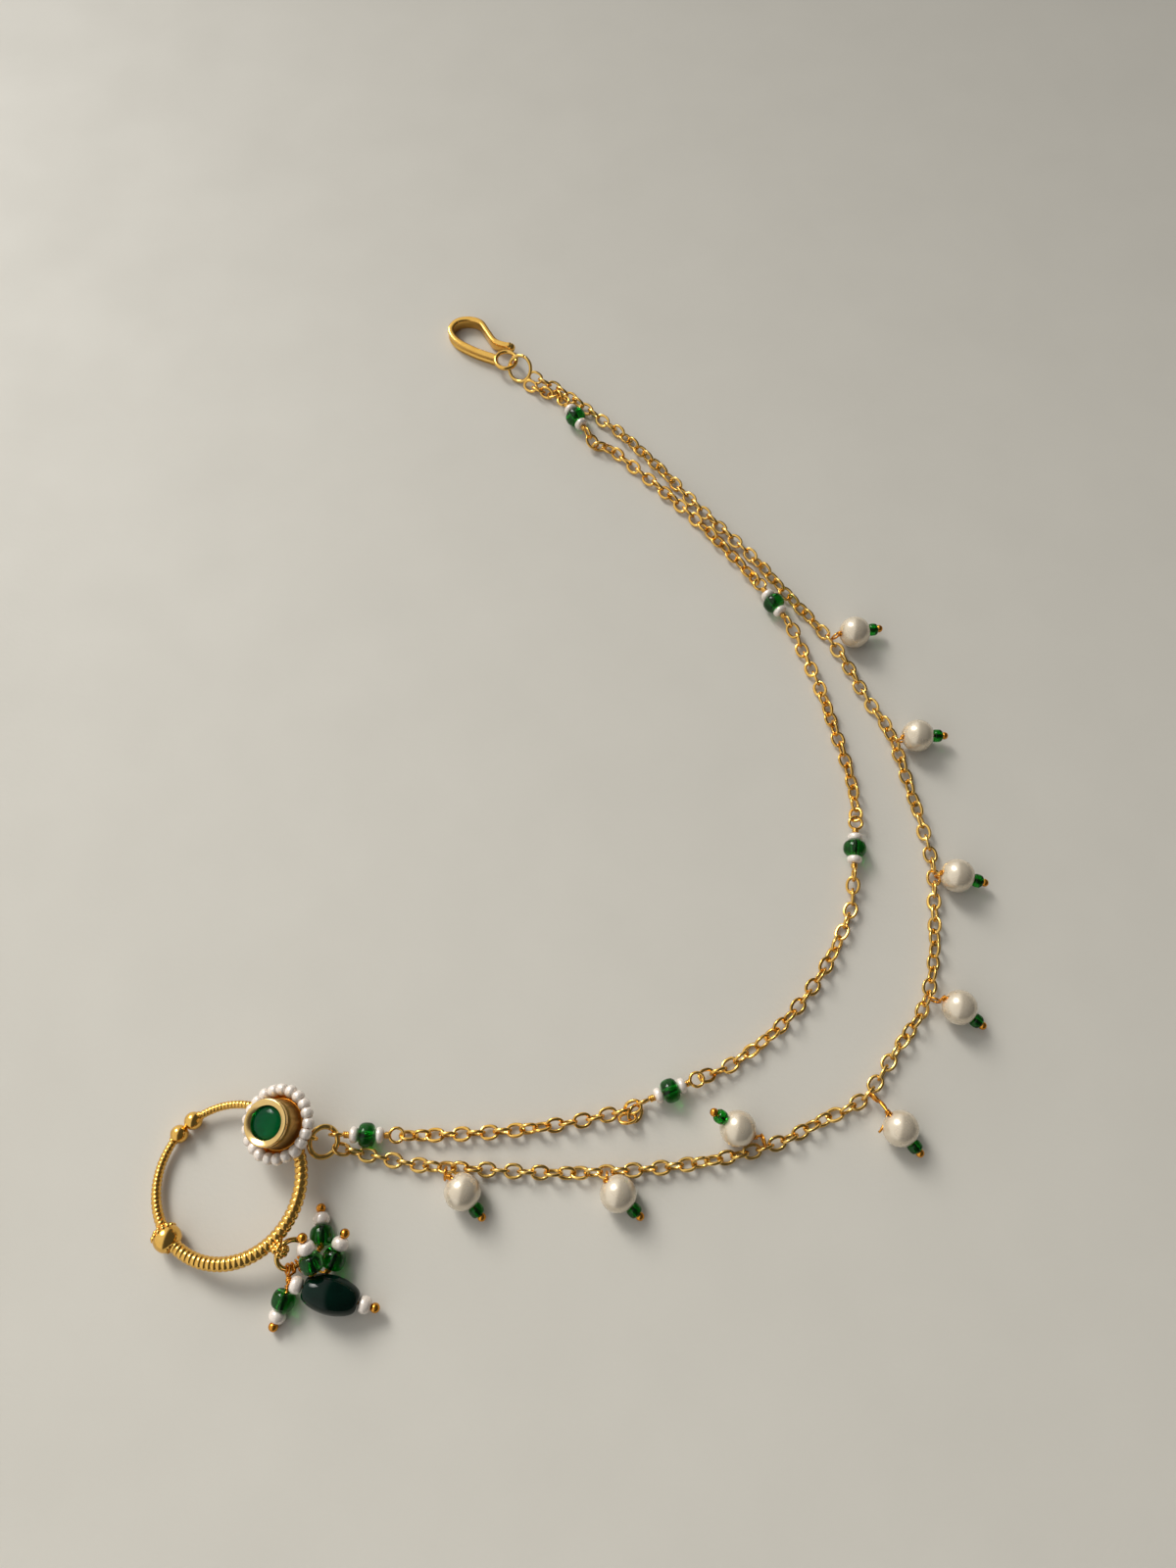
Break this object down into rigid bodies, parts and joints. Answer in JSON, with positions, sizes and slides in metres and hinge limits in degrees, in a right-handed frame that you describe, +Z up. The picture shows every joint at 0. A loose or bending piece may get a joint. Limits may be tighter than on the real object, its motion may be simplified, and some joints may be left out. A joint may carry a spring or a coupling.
{
  "type": "nose ring with hair chain",
  "caption": "Press-on nose ring with a stone and pearl flower, a beaded cluster, and a two-strand hair chain with pearl drops and a hook.",
  "frame": {"origin": "on the table under the middle of the whole laid-out piece", "axes": "+Z up from the table, +Y from the nose ring's end towards the hook, +X to the right of the picture"},
  "size_m": [0.1434, 0.2012, 0.0111],
  "materials": {
    "gold_plate": "polished yellow gold plate",
    "pale_gold_plate": "bright pale gold plate",
    "white_seed_pearl": "pearl lustre",
    "cream_pearl": "pearl lustre",
    "green_glass": "glossy translucent glass",
    "dark_green_glass": "glossy deep glass",
    "emerald_stone": "polished stone"
  },
  "bodies": {
    "root": {"hoop": "gold_plate", "inner_chain": "gold_plate", "cluster_pin_1": "gold_plate", "cluster_pin_2": "gold_plate", "cluster_pin_3": "gold_plate", "cluster_pin_4": "gold_plate", "cluster_pin_5": "gold_plate", "drop_pin_1": "gold_plate", "drop_pin_2": "gold_plate", "drop_pin_3": "gold_plate", "drop_pin_4": "gold_plate", "drop_pin_5": "gold_plate", "drop_pin_6": "gold_plate", "drop_pin_7": "gold_plate", "drop_pin_8": "gold_plate", "flower_jump_ring": "pale_gold_plate", "cluster_ring": "pale_gold_plate", "outer_chain": "pale_gold_plate", "hook_clasp": "pale_gold_plate", "hook_jump_ring": "pale_gold_plate", "pearl_ring": "white_seed_pearl", "cluster_white_1": "white_seed_pearl", "cluster_white_2": "white_seed_pearl", "cluster_white_3": "white_seed_pearl", "cluster_white_4": "white_seed_pearl", "cluster_white_5": "white_seed_pearl", "cluster_white_6": "white_seed_pearl", "drop_pearl_1": "cream_pearl", "drop_pearl_2": "cream_pearl", "drop_pearl_3": "cream_pearl", "drop_pearl_4": "cream_pearl", "drop_pearl_5": "cream_pearl", "drop_pearl_6": "cream_pearl", "drop_pearl_7": "cream_pearl", "drop_pearl_8": "cream_pearl", "cluster_green_1": "green_glass", "cluster_green_2": "green_glass", "cluster_green_3": "green_glass", "cluster_green_4": "green_glass", "inner_green_bead_1": "green_glass", "inner_green_bead_2": "green_glass", "inner_green_bead_3": "green_glass", "inner_green_bead_4": "green_glass", "inner_green_bead_5": "green_glass", "drop_seed_1": "green_glass", "drop_seed_2": "green_glass", "drop_seed_3": "green_glass", "drop_seed_4": "green_glass", "drop_seed_5": "green_glass", "drop_seed_6": "green_glass", "drop_seed_7": "green_glass", "drop_seed_8": "green_glass", "cluster_barrel": "dark_green_glass", "green_stone": "emerald_stone"}
  },
  "joints": []
}
